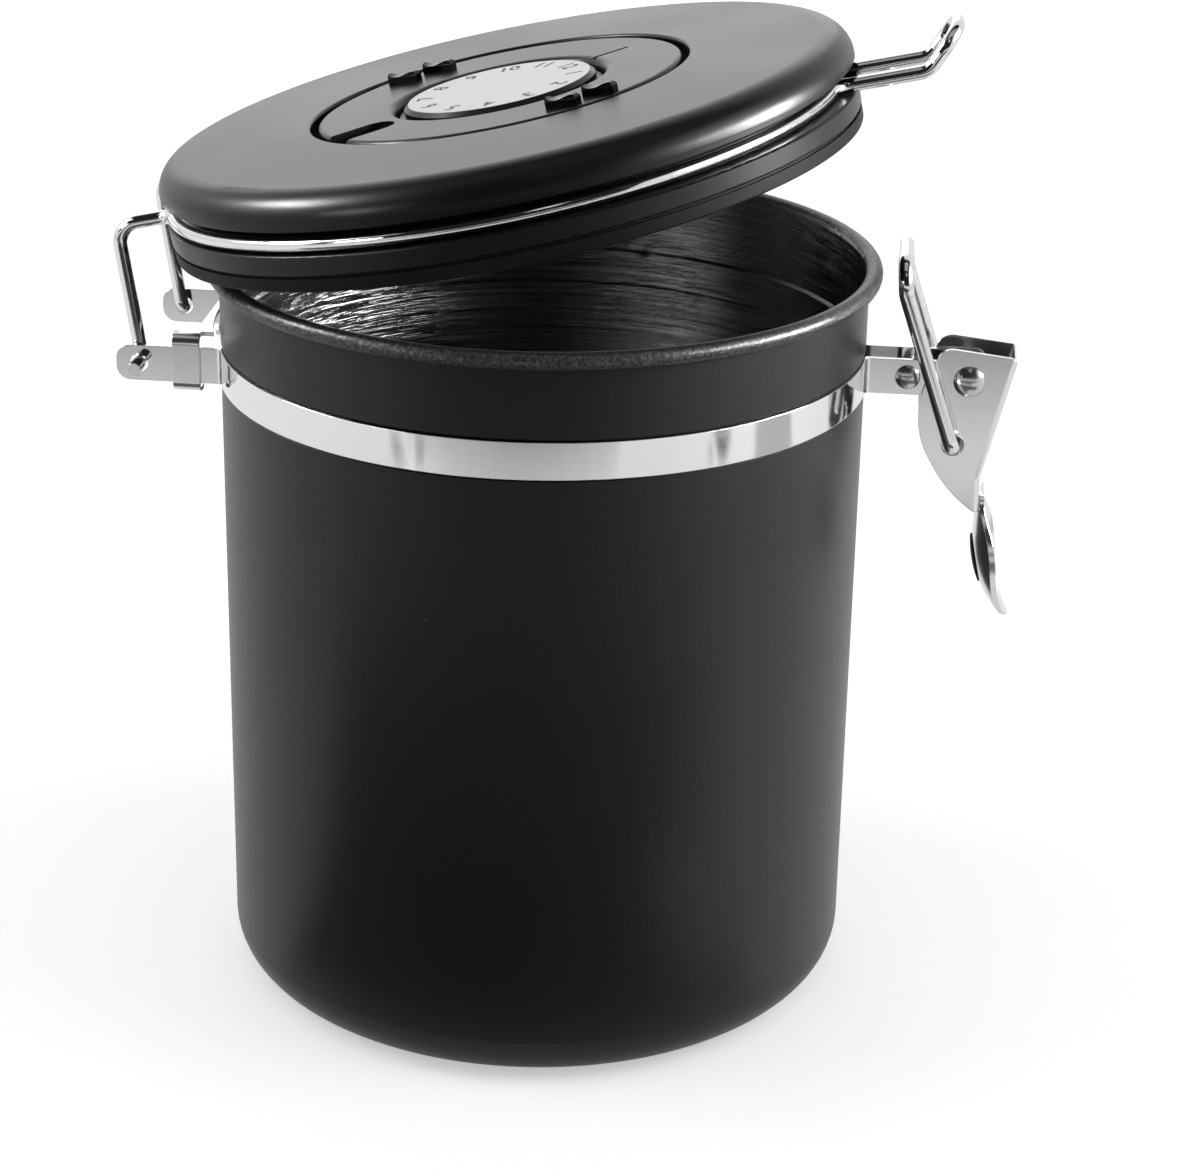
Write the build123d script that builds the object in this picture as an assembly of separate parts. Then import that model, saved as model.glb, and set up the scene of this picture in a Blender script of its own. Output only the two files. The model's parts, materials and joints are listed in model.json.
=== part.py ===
from build123d import *

import os
from math import asin, cos, radians, sin, sqrt

# Coffee canister with a wire-hinged clamp lid, a date dial and a one-way valve.
# Millimetres. Z is up, X runs from the hinge to the latch, and the origin is the
# middle of the ring that the canister stands on. The lid is modelled closed and
# then turned about the hinge to the angle at which it is stored.

# Gaps: parts that are pressed together, parts that run on each other, and the
# amount by which a cutting shape runs past what it cuts.
press_gap = 0.05
running_gap = 0.15
pivot_clearance = 0.08
overrun = 6.0

# Play: the lid hangs loose in its wire and over the rim, and lies towards the latch.
lid_off_centre = 0.5
lid_off_wire = 1.1

# Canister shell: drawn steel can.
body_diameter = 120.0
canister_height = 141.8
shell_sheet = 0.8
base_corner_radius = 8.8
base_rise = 1.2
standing_ring_width = 4.0
rim_bead_diameter = 3.2
band_seat_depth = 0.5

# Clamp band: two half bands of strip, each with an ear bent out at both ends.
band_below_rim = 16.2
band_width = 6.7
band_sheet = 0.8
band_bend_radius = 0.9

# Hinge ears and the wire's pin hole in them.
hinge_reach = 12.6
hinge_ear_spacing = 36.2
hinge_ear_margin = 4.3
hinge_pin_gap = 0.4
hinge_ear_corner = 2.6

# Bridge clipped over the hinge ears.
bridge_sheet = 0.8
bridge_width = 5.0
bridge_from_body = 1.2
bridge_lift = 1.8
bridge_web_reach = 1.2
bridge_web_corner = 1.2
bridge_below_ear = 0.9
bridge_lip = 2.6
bridge_bend_radius = 1.9

# Latch ears, the spacer rivet between them and the lever's pivot rivet.
latch_reach = 19.2
latch_ear_spacing = 7.6
latch_ear_margin = 3.5
latch_ear_corner = 2.6
rivet_diameter = 2.6
rivet_clear_of_lever = 0.1
spacer_wall = 0.75
spacer_head_diameter = 4.6
spacer_head_height = 0.7
pivot_head_diameter = 5.8
pivot_head_height = 1.1

# Lid wire: hinge pins, legs, ring round the lid and the catch in front.
wire_diameter = 2.6
wire_pin_tip = 4.4
wire_leg_gap = 0.25
wire_leg_lean = 4.0
wire_pin_bend = 1.5
wire_knee_radius = 4.2
wire_corner_radius = 3.6
wire_in_groove_gap = 0.15
catch_side_gap = 0.35
catch_reach = 16.7
catch_rise = 6.2
catch_slope = 46.0
catch_bend_radius = 4.0
catch_tip_radius = 4.6

# Lid base: heights are above the top of its lower flange.
seal_clear_of_rim = 0.6
flange_height = 3.5
flange_edge_radius = 0.35
groove_height = 3.9
upper_flange_height = 1.1
flange_to_skirt_gap = 0.1
groove_depth = 5.1
plug_clearance = 2.2
plug_lip = 0.7
plug_lip_height = 0.8
plug_taper = 4.0
plug_depth = 8.2
plug_floor = 1.4
lid_wall = 1.5
cavity_wall = 3.4

# Lid seal: web between flange and rim, and a skirt outside the rim.
seal_sheet = 0.75
seal_outside = 0.1
seal_skirt_sheet = 0.9
seal_skirt_drop = 2.9
seal_step_width = 0.5
seal_step_height = 0.45
seal_edge_radius = 0.4

# Lid cover.
cover_sheet = 1.2
cover_overhang = 0.2
cover_lower_edge = 4.9
cover_skirt_height = 5.5
cover_edge_radius = 5.2
cover_crown = 0.5
pocket_side_gap = 1.35
pocket_depth = 4.0
pocket_edge_radius = 0.6
cover_boss_diameter = 7.0
boss_place_share = 0.7
cover_vent_diameter = 2.5
cover_vent_circle = 11.0
cover_vent_count = 6

# Dial: ring that turns, hub that holds it down, and the number plate.
dial_radius = 33.7
dial_edge_radius = 1.0
dial_hole_gap = 1.55
dial_dish_radius = 1.7
dial_lip = 1.2
dial_lip_height = 1.0
dial_top_below_crown = 0.1
notch_width = 6.6
notch_length = 11.5
notch_end_depth = 0.7
notch_rise = 2.2
notch_angle = -143.0
pointer_width = 1.0
pointer_depth = 1.0
pointer_angle = 36.0
pointer_into_dish = 0.9
pointer_length = 7.4
nub_length = 5.9
nub_width = 2.4
nub_height = 1.9
nub_saddle = 0.45
nub_direction = -14.0
nub_seat = 0.5
nub_from_edge = 4.1
nub_pair_angle = 128.0
nub_half_pair_angle = 7.4
nub_end_radius = 0.9
nub_top_radius = 0.9
hub_radius = 17.75
hub_foot_overlap = 0.6
hub_foot_height = 0.9
hub_proud = 0.1
hub_bevel_drop = 0.7
hub_wall = 1.6
hub_roof = 1.6
plate_edge = 0.9
plate_sheet = 0.5
hub_screw_bite = 2.6
hub_screw_diameter = 3.0
hub_screw_head_diameter = 5.6
hub_screw_head_height = 1.8
hub_post_diameter = 6.4

# One-way valve in the middle of the lid base.
flap_radius = 8.0
flap_sheet = 0.8
flap_stem_diameter = 2.6
flap_stem_gap = 0.2
flap_barb_diameter = 4.0
flap_barb_height = 1.4
flap_barb_clearance = 0.5
flap_lift = 1.0
seat_hole_diameter = 2.0
seat_hole_circle = 4.6
seat_hole_count = 6
flap_side_gap = 0.65
collar_wall = 1.4
cage_sheet = 1.0
cage_spigot_wall = 0.9
cage_spigot_depth = 0.7
cage_over_flap = 1.5
cage_hub_radius = 3.0
cage_spoke_count = 3
cage_spoke_width = 1.8
filter_sheet = 0.8
filter_ledge = 2.15
grille_sheet = 1.2
grille_wall = 1.2
grille_slot_width = 1.6
grille_slot_pitch = 3.4
grille_slot_count = 7
well_wall = 1.4
chamber_past_collar = 1.5

# Screws that join the cover to the base.
lid_screw_diameter = 2.6
lid_screw_head_diameter = 5.0
lid_screw_head_height = 1.5
lid_screw_count = 4
lid_screw_bite = 6.0
lid_screw_pad_height = 3.0
lid_screw_pad_diameter = 8.0

# Latch lever: folded channel. Places on it are from its pivot.
lever_sheet = 0.8
lever_top_front = (-5.3, 6.2)
lever_top_back = (8.9, 4.6)
lever_front_knee = (-6.9, 1.5)
lever_front_belly = (-8.9, -5.0)
lever_front_low = (-6.2, -16.0)
lever_front_toe = (-2.2, -21.6)
lever_neck_front = (2.2, -25.4)
lever_neck_back = (3.4, -25.4)
lever_back_low = (3.2, -19.0)
lever_front_corner = 3.0
lever_back_corner = 1.2
lever_fold_radius = 1.2
bail_hole_place = (-2.3, -12.4)
bail_pin_gap = 0.7

# Thumb tab at the end of the lever, dished towards the outside.
tab_start = (3.1, -22.5)
tab_waist = (2.9, -31.0)
tab_tip = (9.9, -47.7)
tab_dish_radius = 11.3
tab_width = 16.0
tab_outline_shares = ((0.0, 0.52), (0.07, 0.54), (0.22, 0.80), (0.42, 1.0), (0.68, 0.86), (0.88, 0.5))
pad_height = 9.4
pad_width = 6.4
pad_sheet = 1.4
pad_centre_share = 0.55

# Latch bail.
bail_wire_diameter = 2.8
bail_pin_inside = 1.2
bail_side_gap = 0.5
bail_flare = 2.0
bail_crank_below_top = 5.2
bail_crank_offset = 0.4
bail_clear_of_lid = 0.3
bail_pin_bend = 1.9
bail_top_bend = 4.2
bail_crank_bend = 6.0

# The lid is stored this far open.
lid_open_angle = 12.5


# Levels and places worked out from the sizes.
body_radius = body_diameter / 2
bore_radius = body_radius - shell_sheet
bead_radius = rim_bead_diameter / 2
bead_centre_radius = bore_radius + bead_radius
bead_centre_height = canister_height - bead_radius
band_top = canister_height - band_below_rim
band_bottom = band_top - band_width
pivot_height = band_top - band_width / 2
band_seat_radius = body_radius - band_seat_depth
band_inner_radius = band_seat_radius + press_gap
band_outer_radius = band_inner_radius + band_sheet
hinge_x = -(body_radius + hinge_reach)
hinge_ear_y = hinge_ear_spacing / 2
latch_x = body_radius + latch_reach
latch_ear_y = latch_ear_spacing / 2
rivet_x = latch_x + lever_front_belly[0] - spacer_head_diameter / 2 - rivet_clear_of_lever
spacer_diameter = rivet_diameter + 2 * (press_gap + spacer_wall)
lid_level = canister_height + flange_height + seal_sheet + 3 * press_gap
wire_radius = wire_diameter / 2
wire_height = wire_radius + running_gap
hinge_hole_diameter = wire_diameter + 2 * hinge_pin_gap
seal_skirt_radius = bead_centre_radius + bead_radius + seal_clear_of_rim
lid_radius = seal_skirt_radius + seal_skirt_sheet + seal_outside
groove_floor_radius = lid_radius - groove_depth
plug_neck_radius = bore_radius - plug_clearance
plug_bottom_radius = plug_neck_radius - plug_taper
cover_radius = lid_radius + cover_overhang
wire_ring_radius = groove_floor_radius + lid_off_wire + wire_in_groove_gap + wire_radius
wire_centre_x = lid_off_centre - lid_off_wire
pocket_radius = dial_radius + pocket_side_gap
pocket_outer_radius = pocket_radius + cover_sheet
floor_radius = plug_bottom_radius - lid_wall
cover_boss_circle = pocket_outer_radius + boss_place_share * (floor_radius - pocket_outer_radius)
dial_hole_radius = hub_radius + dial_hole_gap
hub_foot_radius = dial_hole_radius - dial_lip + hub_foot_overlap
plate_radius = hub_radius - plate_edge
nub_circle = dial_radius - nub_from_edge
pointer_start = dial_hole_radius + dial_dish_radius - pointer_into_dish
collar_radius = flap_radius + flap_side_gap + cage_spigot_wall + press_gap + collar_wall
cage_window_radius = flap_radius - cage_over_flap
valve_chamber_radius = collar_radius + chamber_past_collar
filter_radius = valve_chamber_radius + filter_ledge
grille_radius = filter_radius + running_gap + grille_wall
lever_width = latch_ear_spacing + band_sheet + 2 * (running_gap + lever_sheet)
bail_wire_radius = bail_wire_diameter / 2
bail_hole_diameter = bail_wire_diameter + 2 * bail_pin_gap
bail_past_head = running_gap + pivot_head_height + bail_side_gap
bail_low_spacing = lever_width + 2 * bail_past_head + bail_wire_diameter
bail_top_spacing = bail_low_spacing + bail_flare
catch_spacing = bail_top_spacing - bail_wire_diameter - wire_diameter - 2 * catch_side_gap
plug_neck_low = -flange_height - seal_sheet - 3 * press_gap
plug_top = plug_floor - plug_depth
screw_pad_top = plug_top + lid_screw_pad_height
lid_screw_hole = lid_screw_diameter / 2 + press_gap
cover_low_radius = cover_radius - cover_sheet
cover_edge_top = cover_lower_edge + cover_skirt_height
crown_top = cover_edge_top + cover_crown
pocket_floor = crown_top - pocket_depth
dial_low = pocket_floor + running_gap
dial_top = crown_top - dial_top_below_crown
hub_low = dial_low + dial_lip_height + running_gap
hub_top = crown_top + hub_proud - plate_sheet
well_radius = grille_radius + press_gap
well_top = grille_sheet + filter_sheet + 2 * press_gap - plug_depth
chamber_height = flap_lift + flap_barb_height + flap_barb_clearance
seat_low = well_top + chamber_height
seat_top = seat_low + plug_floor
flap_low = seat_top + 2 * press_gap
collar_top = flap_low + flap_sheet + flap_lift + running_gap
bail_top = lid_level + wire_height - wire_radius - bail_clear_of_lid - bail_wire_radius
bail_top_x = lid_off_centre + cover_radius + bail_clear_of_lid + bail_wire_radius

hinge_axis = Axis((hinge_x, 0, pivot_height), (0, -1, 0))


def outline(*points):
    """Closed flat outline through the points."""
    return make_face(Polyline(*points, close=True))


def rounded(face, radius, *places):
    """Round the corners of a flat face that lie nearest to the places."""
    for place in places:
        face = fillet(face.vertices().sort_by_distance(place)[0], radius)
    return face


def turned(face):
    """Solid turned about Z from an outline of (radius, height)."""
    return revolve(Plane.XZ * face, Axis.Z)


def across(face, width):
    """Solid from an outline of (x, z), as wide as given and centred on y = 0."""
    return extrude(Plane.XZ * face, amount=width / 2, both=True)


def upright(face, level, height):
    """Solid from an outline of (x, y), standing on a level."""
    return Pos(0, 0, level) * extrude(face, amount=height)


def ring_outline(outer, inner, low, high):
    """Outline of (radius, height) of a plain ring."""
    return outline((inner, low), (outer, low), (outer, high), (inner, high))


def rod_along_y(radius, length, x, z):
    """Round rod along Y, centred on y = 0."""
    return Pos(x, 0, z) * Rot(90, 0, 0) * Cylinder(radius, length)


def wire_along(path, radius):
    """Round wire along a path of straight runs and tangent arcs."""
    start = Plane(origin=path @ 0, z_dir=path % 0)
    return sweep(start * Circle(radius), path=path)


def opened(shape):
    """Turn a piece of the closed lid to the angle at which it is stored."""
    return shape.rotate(hinge_axis, lid_open_angle)


def around(shape, count, start=0.0):
    """Copies of a shape spaced evenly about Z."""
    step = 360 / count
    return [Rot(0, 0, start + i * step) * shape for i in range(count)]


def canister_shell():
    wall_top = bead_centre_height
    seat_slope = band_seat_depth
    foot_outer = body_radius - base_corner_radius
    foot_inner = foot_outer - standing_ring_width

    def profile(inset, top, floor_lift):
        corner = max(base_corner_radius - inset, base_corner_radius / 4)
        radius = body_radius - inset
        seat = band_seat_radius - inset
        face = outline(
            (0, base_rise + floor_lift),
            (foot_inner - base_rise, base_rise + floor_lift),
            (foot_inner, floor_lift),
            (radius, floor_lift),
            (radius, band_bottom - seat_slope),
            (seat, band_bottom),
            (seat, band_top),
            (radius, band_top + seat_slope),
            (radius, top),
            (0, top),
        )
        return rounded(face, corner, (radius, floor_lift))

    outside = turned(profile(0, wall_top, 0))
    inside = turned(profile(shell_sheet, canister_height + overrun, shell_sheet))
    bead = turned(Pos(bead_centre_radius, bead_centre_height) * Circle(bead_radius))
    return outside - inside + bead


def band_plan():
    """Plan of the front half band, with both ears bent out."""
    big = body_diameter + overrun
    half = band_sheet / 2
    hinge_face = hinge_ear_y - half
    latch_face = latch_ear_y - half
    ring = Circle(band_outer_radius) - Circle(band_inner_radius)
    keep = outline((0, 0), (0, -big), (-big, -big), (-big, -hinge_face), (0, -hinge_face))
    keep += outline((0, -latch_face), (0, -big), (big, -big), (big, -latch_face))
    plan = ring & keep

    hinge_root = sqrt(band_inner_radius**2 - hinge_face**2)
    latch_root = sqrt(band_inner_radius**2 - latch_face**2)
    hinge_end = body_radius + hinge_reach + hinge_ear_margin
    latch_end = latch_x + latch_ear_margin
    hinge_back = hinge_face + band_sheet
    latch_back = latch_face + band_sheet
    plan += outline(
        (-hinge_root, -hinge_face),
        (-hinge_end, -hinge_face),
        (-hinge_end, -hinge_back),
        (-hinge_root, -hinge_back),
    )
    plan += outline(
        (latch_root, -latch_face),
        (latch_end, -latch_face),
        (latch_end, -latch_back),
        (latch_root, -latch_back),
    )
    hinge_crease = sqrt(band_outer_radius**2 - hinge_back**2)
    latch_crease = sqrt(band_outer_radius**2 - latch_back**2)
    plan = rounded(
        plan,
        band_bend_radius,
        (-hinge_crease, -hinge_back),
        (latch_crease, -latch_back),
    )
    return rounded(
        plan,
        band_bend_radius + band_sheet / 2,
        (-hinge_root, -hinge_face),
        (latch_root, -latch_face),
    )


def band_front():
    band = upright(band_plan(), band_bottom, band_width)
    ends = band.edges().filter_by(Axis.Y).sort_by(Axis.X)
    band = fillet(ends[:2], hinge_ear_corner)
    ends = band.edges().filter_by(Axis.Y).sort_by(Axis.X)
    band = fillet(ends[-2:], latch_ear_corner)
    span = hinge_ear_spacing + overrun
    band -= rod_along_y(hinge_hole_diameter / 2, span, hinge_x, pivot_height)
    rivet_hole = rivet_diameter / 2 + press_gap
    band -= rod_along_y(rivet_hole, span, latch_x, pivot_height)
    return band - rod_along_y(rivet_hole, span, rivet_x, pivot_height)


def hinge_bridge():
    """Saddle: a web over the ears, a skirt outside each ear and a lip under it."""
    inner_y = hinge_ear_y + band_sheet / 2 + press_gap
    outer_y = inner_y + bridge_sheet
    web_low = band_top + bridge_lift
    web_high = web_low + bridge_sheet
    lip_high = band_bottom - bridge_below_ear
    lip_low = lip_high - bridge_sheet
    skirt_low = lip_low
    lip_y = inner_y - bridge_lip
    section = outline(
        (-outer_y, skirt_low),
        (-outer_y, web_high),
        (outer_y, web_high),
        (outer_y, skirt_low),
        (lip_y, skirt_low),
        (lip_y, lip_high),
        (inner_y, lip_high),
        (inner_y, web_low),
        (-inner_y, web_low),
        (-inner_y, lip_high),
        (-lip_y, lip_high),
        (-lip_y, skirt_low),
    )
    section = rounded(
        section,
        bridge_bend_radius,
        (-outer_y, web_high),
        (outer_y, web_high),
        (-outer_y, skirt_low),
        (outer_y, skirt_low),
    )
    inside_bend = bridge_bend_radius - bridge_sheet
    section = rounded(section, inside_bend, (inner_y, web_low), (-inner_y, web_low))
    inner_x = body_radius + bridge_from_body
    outer_x = inner_x + bridge_width
    strip = Pos(-outer_x, 0, 0) * extrude(Plane.YZ * section, amount=bridge_width)
    web_y = inner_y - bridge_bend_radius
    web_x = inner_x + bridge_web_reach
    notch_x = outer_x + overrun
    notch = outline((-notch_x, -web_y), (-web_x, -web_y), (-web_x, web_y), (-notch_x, web_y))
    notch = rounded(notch, bridge_web_corner, (-web_x, -web_y), (-web_x, web_y))
    strip -= upright(notch, web_low - bridge_sheet, overrun)
    web = outline((-web_x, -web_y), (0, -web_y), (0, web_y), (-web_x, web_y))
    web -= Circle(inner_x)
    return strip + upright(web, web_low, bridge_sheet)


def dome(radius, height):
    """Rounded rivet head standing on the XY plane."""
    ball = (radius**2 + height**2) / (2 * height)
    half_turn = asin(radius / ball) / 2
    shoulder = (ball * sin(half_turn), height - ball + ball * cos(half_turn))
    edges = [
        Line((0, 0), (radius, 0)),
        ThreePointArc((radius, 0), shoulder, (0, height)),
        Line((0, height), (0, 0)),
    ]
    return turned(make_face(edges))


def rivet(shank_radius, grip, head_radius, head_height, x):
    """Rivet along Y on the latch ears, with a rounded head at both ends."""
    shank = Cylinder(shank_radius, grip)
    head = Pos(0, 0, grip / 2) * dome(head_radius, head_height)
    turned_over = Rot(180, 0, 0) * head
    return Pos(x, 0, pivot_height) * Rot(90, 0, 0) * (shank + head + turned_over)


def latch_spacer():
    length = latch_ear_spacing - band_sheet - 2 * press_gap
    tube = rod_along_y(spacer_diameter / 2, length, rivet_x, pivot_height)
    return tube - rod_along_y(rivet_diameter / 2 + press_gap, length, rivet_x, pivot_height)


def spacer_rivet():
    grip = latch_ear_spacing + band_sheet + 2 * press_gap
    return rivet(rivet_diameter / 2, grip, spacer_head_diameter / 2, spacer_head_height, rivet_x)


def pivot_rivet():
    grip = lever_width + 2 * running_gap
    return rivet(rivet_diameter / 2, grip, pivot_head_diameter / 2, pivot_head_height, latch_x)


def lid_wire():
    """One wire: pin, leg, half of the ring, the catch, and back the same way."""
    level = lid_level + wire_height
    leg_y = hinge_ear_y - band_sheet / 2 - wire_leg_gap - wire_radius
    pin_y = hinge_ear_y + band_sheet / 2 + wire_pin_tip
    rise = level - pivot_height
    knee_x = hinge_x + rise * sin(radians(wire_leg_lean)) / cos(radians(wire_leg_lean))
    catch_y = catch_spacing / 2
    outer = wire_ring_radius + wire_corner_radius
    leg_bend_y = leg_y + wire_corner_radius
    leg_bend_x = sqrt(outer**2 - leg_bend_y**2)
    catch_bend_y = catch_y + wire_corner_radius
    catch_bend_x = sqrt(outer**2 - catch_bend_y**2)
    on_ring = wire_ring_radius / outer
    leg_end = (wire_centre_x - leg_bend_x, -leg_y, level)
    ring_start = (wire_centre_x - leg_bend_x * on_ring, -leg_bend_y * on_ring, level)
    ring_front = (wire_centre_x, -wire_ring_radius, level)
    ring_end = (wire_centre_x + catch_bend_x * on_ring, -catch_bend_y * on_ring, level)
    catch_root = wire_centre_x + catch_bend_x
    catch_start = (catch_root, -catch_y, level)
    bend_x = wire_centre_x + wire_ring_radius + catch_reach
    tip_x = bend_x + catch_rise * cos(radians(catch_slope)) / sin(radians(catch_slope))
    tip_z = level + catch_rise

    hinge_run = FilletPolyline(
        (hinge_x, -pin_y, pivot_height),
        (hinge_x, -leg_y, pivot_height),
        (knee_x, -leg_y, level),
        leg_end,
        radius=[wire_pin_bend, wire_knee_radius],
    )
    near = hinge_run.edges()
    near += [TangentArc(leg_end, ring_start, tangent=(1, 0, 0)).edge()]
    near += [ThreePointArc(ring_start, ring_front, ring_end).edge()]
    near += [TangentArc(catch_start, ring_end, tangent=(-1, 0, 0)).edge()]
    catch = FilletPolyline(
        catch_start,
        (bend_x, -catch_y, level),
        (tip_x, -catch_y, tip_z),
        (tip_x, catch_y, tip_z),
        (bend_x, catch_y, level),
        (catch_root, catch_y, level),
        radius=[catch_bend_radius, catch_tip_radius, catch_tip_radius, catch_bend_radius],
    )
    far = [edge.mirror(Plane.XZ) for edge in near]
    path = Wire([*near, *catch.edges(), *far])
    start = Plane(origin=(hinge_x, -pin_y, pivot_height), z_dir=(0, 1, 0))
    return opened(sweep(start * Circle(wire_radius), path=path))


def on_lid(shape):
    """Put a piece whose heights are above the lid level on the stored lid."""
    return opened(Pos(lid_off_centre, 0, lid_level) * shape)


def lid_base():
    """Spool with the wire's groove, the plug below it and the valve in its middle."""
    groove_top = groove_height + upper_flange_height
    upper_radius = cover_low_radius - flange_to_skirt_gap
    lip_radius = plug_neck_radius + plug_lip
    lip_low = plug_neck_low - plug_lip_height
    cavity_radius = groove_floor_radius - cavity_wall
    cavity_low = plug_top + lip_radius - plug_bottom_radius - lid_wall
    well_outer = well_radius + well_wall
    chamber_outer = valve_chamber_radius + well_wall
    ledge_top = well_top + well_wall
    section = outline(
        (0, seat_low),
        (valve_chamber_radius, seat_low),
        (valve_chamber_radius, well_top),
        (well_radius, well_top),
        (well_radius, -plug_depth),
        (plug_bottom_radius, -plug_depth),
        (lip_radius, lip_low),
        (lip_radius, plug_neck_low),
        (plug_neck_radius, plug_neck_low),
        (plug_neck_radius, -flange_height),
        (lid_radius, -flange_height),
        (lid_radius, 0),
        (groove_floor_radius, 0),
        (groove_floor_radius, groove_height),
        (upper_radius, groove_height),
        (upper_radius, groove_top),
        (cavity_radius, groove_top),
        (cavity_radius, cavity_low),
        (floor_radius, plug_top),
        (well_outer, plug_top),
        (well_outer, ledge_top),
        (chamber_outer, ledge_top),
        (chamber_outer, seat_top),
        (0, seat_top),
    )
    rim = ((lid_radius, 0), (lid_radius, -flange_height))
    base = turned(rounded(section, flange_edge_radius, *rim))
    collar = ring_outline(collar_radius, collar_radius - collar_wall, seat_top, collar_top)
    base += turned(collar)
    pad = Circle(lid_screw_pad_diameter / 2)
    pads = upright(pad, plug_top - plug_floor / 2, lid_screw_pad_height + plug_floor / 2)
    base += around(Pos(cover_boss_circle, 0, 0) * pads, lid_screw_count)
    shank = upright(Circle(lid_screw_hole), -plug_depth - overrun, 2 * overrun)
    head_hole = Circle(lid_screw_head_diameter / 2 + running_gap)
    head_depth = lid_screw_head_height + press_gap
    shank += upright(head_hole, -plug_depth - overrun, overrun + head_depth)
    base -= around(Pos(cover_boss_circle, 0, 0) * shank, lid_screw_count)
    base -= upright(Circle(flap_stem_diameter / 2 + flap_stem_gap), seat_low - overrun, 2 * overrun)
    vent = upright(Circle(seat_hole_diameter / 2), seat_low - overrun, 2 * overrun)
    base -= around(Pos(seat_hole_circle, 0, 0) * vent, seat_hole_count)
    return on_lid(base)


def lid_seal():
    top = -flange_height - press_gap
    low = top - seal_sheet
    inner = seal_skirt_radius
    outer = inner + seal_skirt_sheet
    step = outer - seal_step_width
    bottom = -flange_height - seal_skirt_drop
    section = outline(
        (plug_neck_radius + press_gap, top),
        (step, top),
        (step, top - seal_step_height),
        (outer, top - seal_step_height),
        (outer, bottom),
        (inner, bottom),
        (inner, low),
        (plug_neck_radius + press_gap, low),
    )
    return on_lid(turned(rounded(section, seal_edge_radius, (outer, bottom))))


def lid_cover():
    """Shell with a rounded edge, and a pocket in its top for the dial."""

    def section(inset, pocket_low, bottom):
        radius = cover_radius - inset
        edge = cover_edge_radius - inset
        edge_top = cover_edge_top - inset
        pocket_outer = pocket_radius + inset
        face = outline(
            (0, bottom),
            (radius, bottom),
            (radius, edge_top),
            (pocket_outer, crown_top - inset),
            (pocket_outer, pocket_low),
            (0, pocket_low),
        )
        return rounded(face, edge, (radius, edge_top))

    face = section(0, pocket_floor, cover_lower_edge)
    face = rounded(face, pocket_edge_radius, (pocket_radius, crown_top))
    hollow = section(cover_sheet, pocket_floor - cover_sheet, cover_lower_edge - overrun)
    cover = turned(face) - turned(hollow)
    boss_low = screw_pad_top + press_gap
    boss_high = cover_edge_top - cover_sheet / 2
    boss = upright(Circle(cover_boss_diameter / 2), boss_low, boss_high - boss_low)
    bite = upright(Circle(lid_screw_hole), boss_low, lid_screw_bite + press_gap)
    cover += around(Pos(cover_boss_circle, 0, 0) * boss, lid_screw_count)
    cover -= around(Pos(cover_boss_circle, 0, 0) * bite, lid_screw_count)
    vent_low = pocket_floor - 2 * cover_sheet
    vent = upright(Circle(cover_vent_diameter / 2), vent_low, overrun)
    cover -= around(Pos(cover_vent_circle, 0, 0) * vent, cover_vent_count)
    cover -= upright(Circle(hub_screw_diameter / 2 + press_gap), vent_low, overrun)
    return on_lid(cover)


def dial_place(radius, angle):
    """Place on the dial at a radius and an angle from the latch side."""
    return (radius * cos(radians(angle)), radius * sin(radians(angle)))


def nub_angles():
    """Angles of the four nubs: two pairs, opposite each other."""
    pairs = (nub_pair_angle, nub_pair_angle + 180)
    return [pair + side * nub_half_pair_angle for pair in pairs for side in (-1, 1)]


def grip_nub():
    """Half-round bar along X with a saddle in its top and one end rounded."""
    half = nub_length / 2
    low = -nub_seat
    shoulder = nub_height - nub_saddle
    side = make_face(
        [
            Line((-half, nub_height), (-half, low)),
            Line((-half, low), (half, low)),
            Line((half, low), (half, nub_height - nub_end_radius)),
            TangentArc(
                (half, nub_height - nub_end_radius),
                (half - nub_end_radius, nub_height),
                tangent=(0, 1),
            ),
            Spline(
                (half - nub_end_radius, nub_height),
                (0, shoulder),
                (-half, nub_height),
                tangents=((-1, 0), (-1, 1)),
            ),
        ]
    )
    end = outline(
        (-nub_width / 2, low),
        (nub_width / 2, low),
        (nub_width / 2, nub_height),
        (-nub_width / 2, nub_height),
    )
    end = rounded(end, nub_top_radius, (nub_width / 2, nub_height), (-nub_width / 2, nub_height))
    bar = extrude(Plane.YZ * end, amount=half, both=True)
    return bar & across(side, nub_width)


def nubs(shape):
    """The shape at the place of each nub, all pointing the same way."""
    turn = Rot(0, 0, nub_direction)
    places = [dial_place(nub_circle, angle) for angle in nub_angles()]
    return [Pos(x, y, dial_top) * turn * shape for x, y in places]


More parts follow.
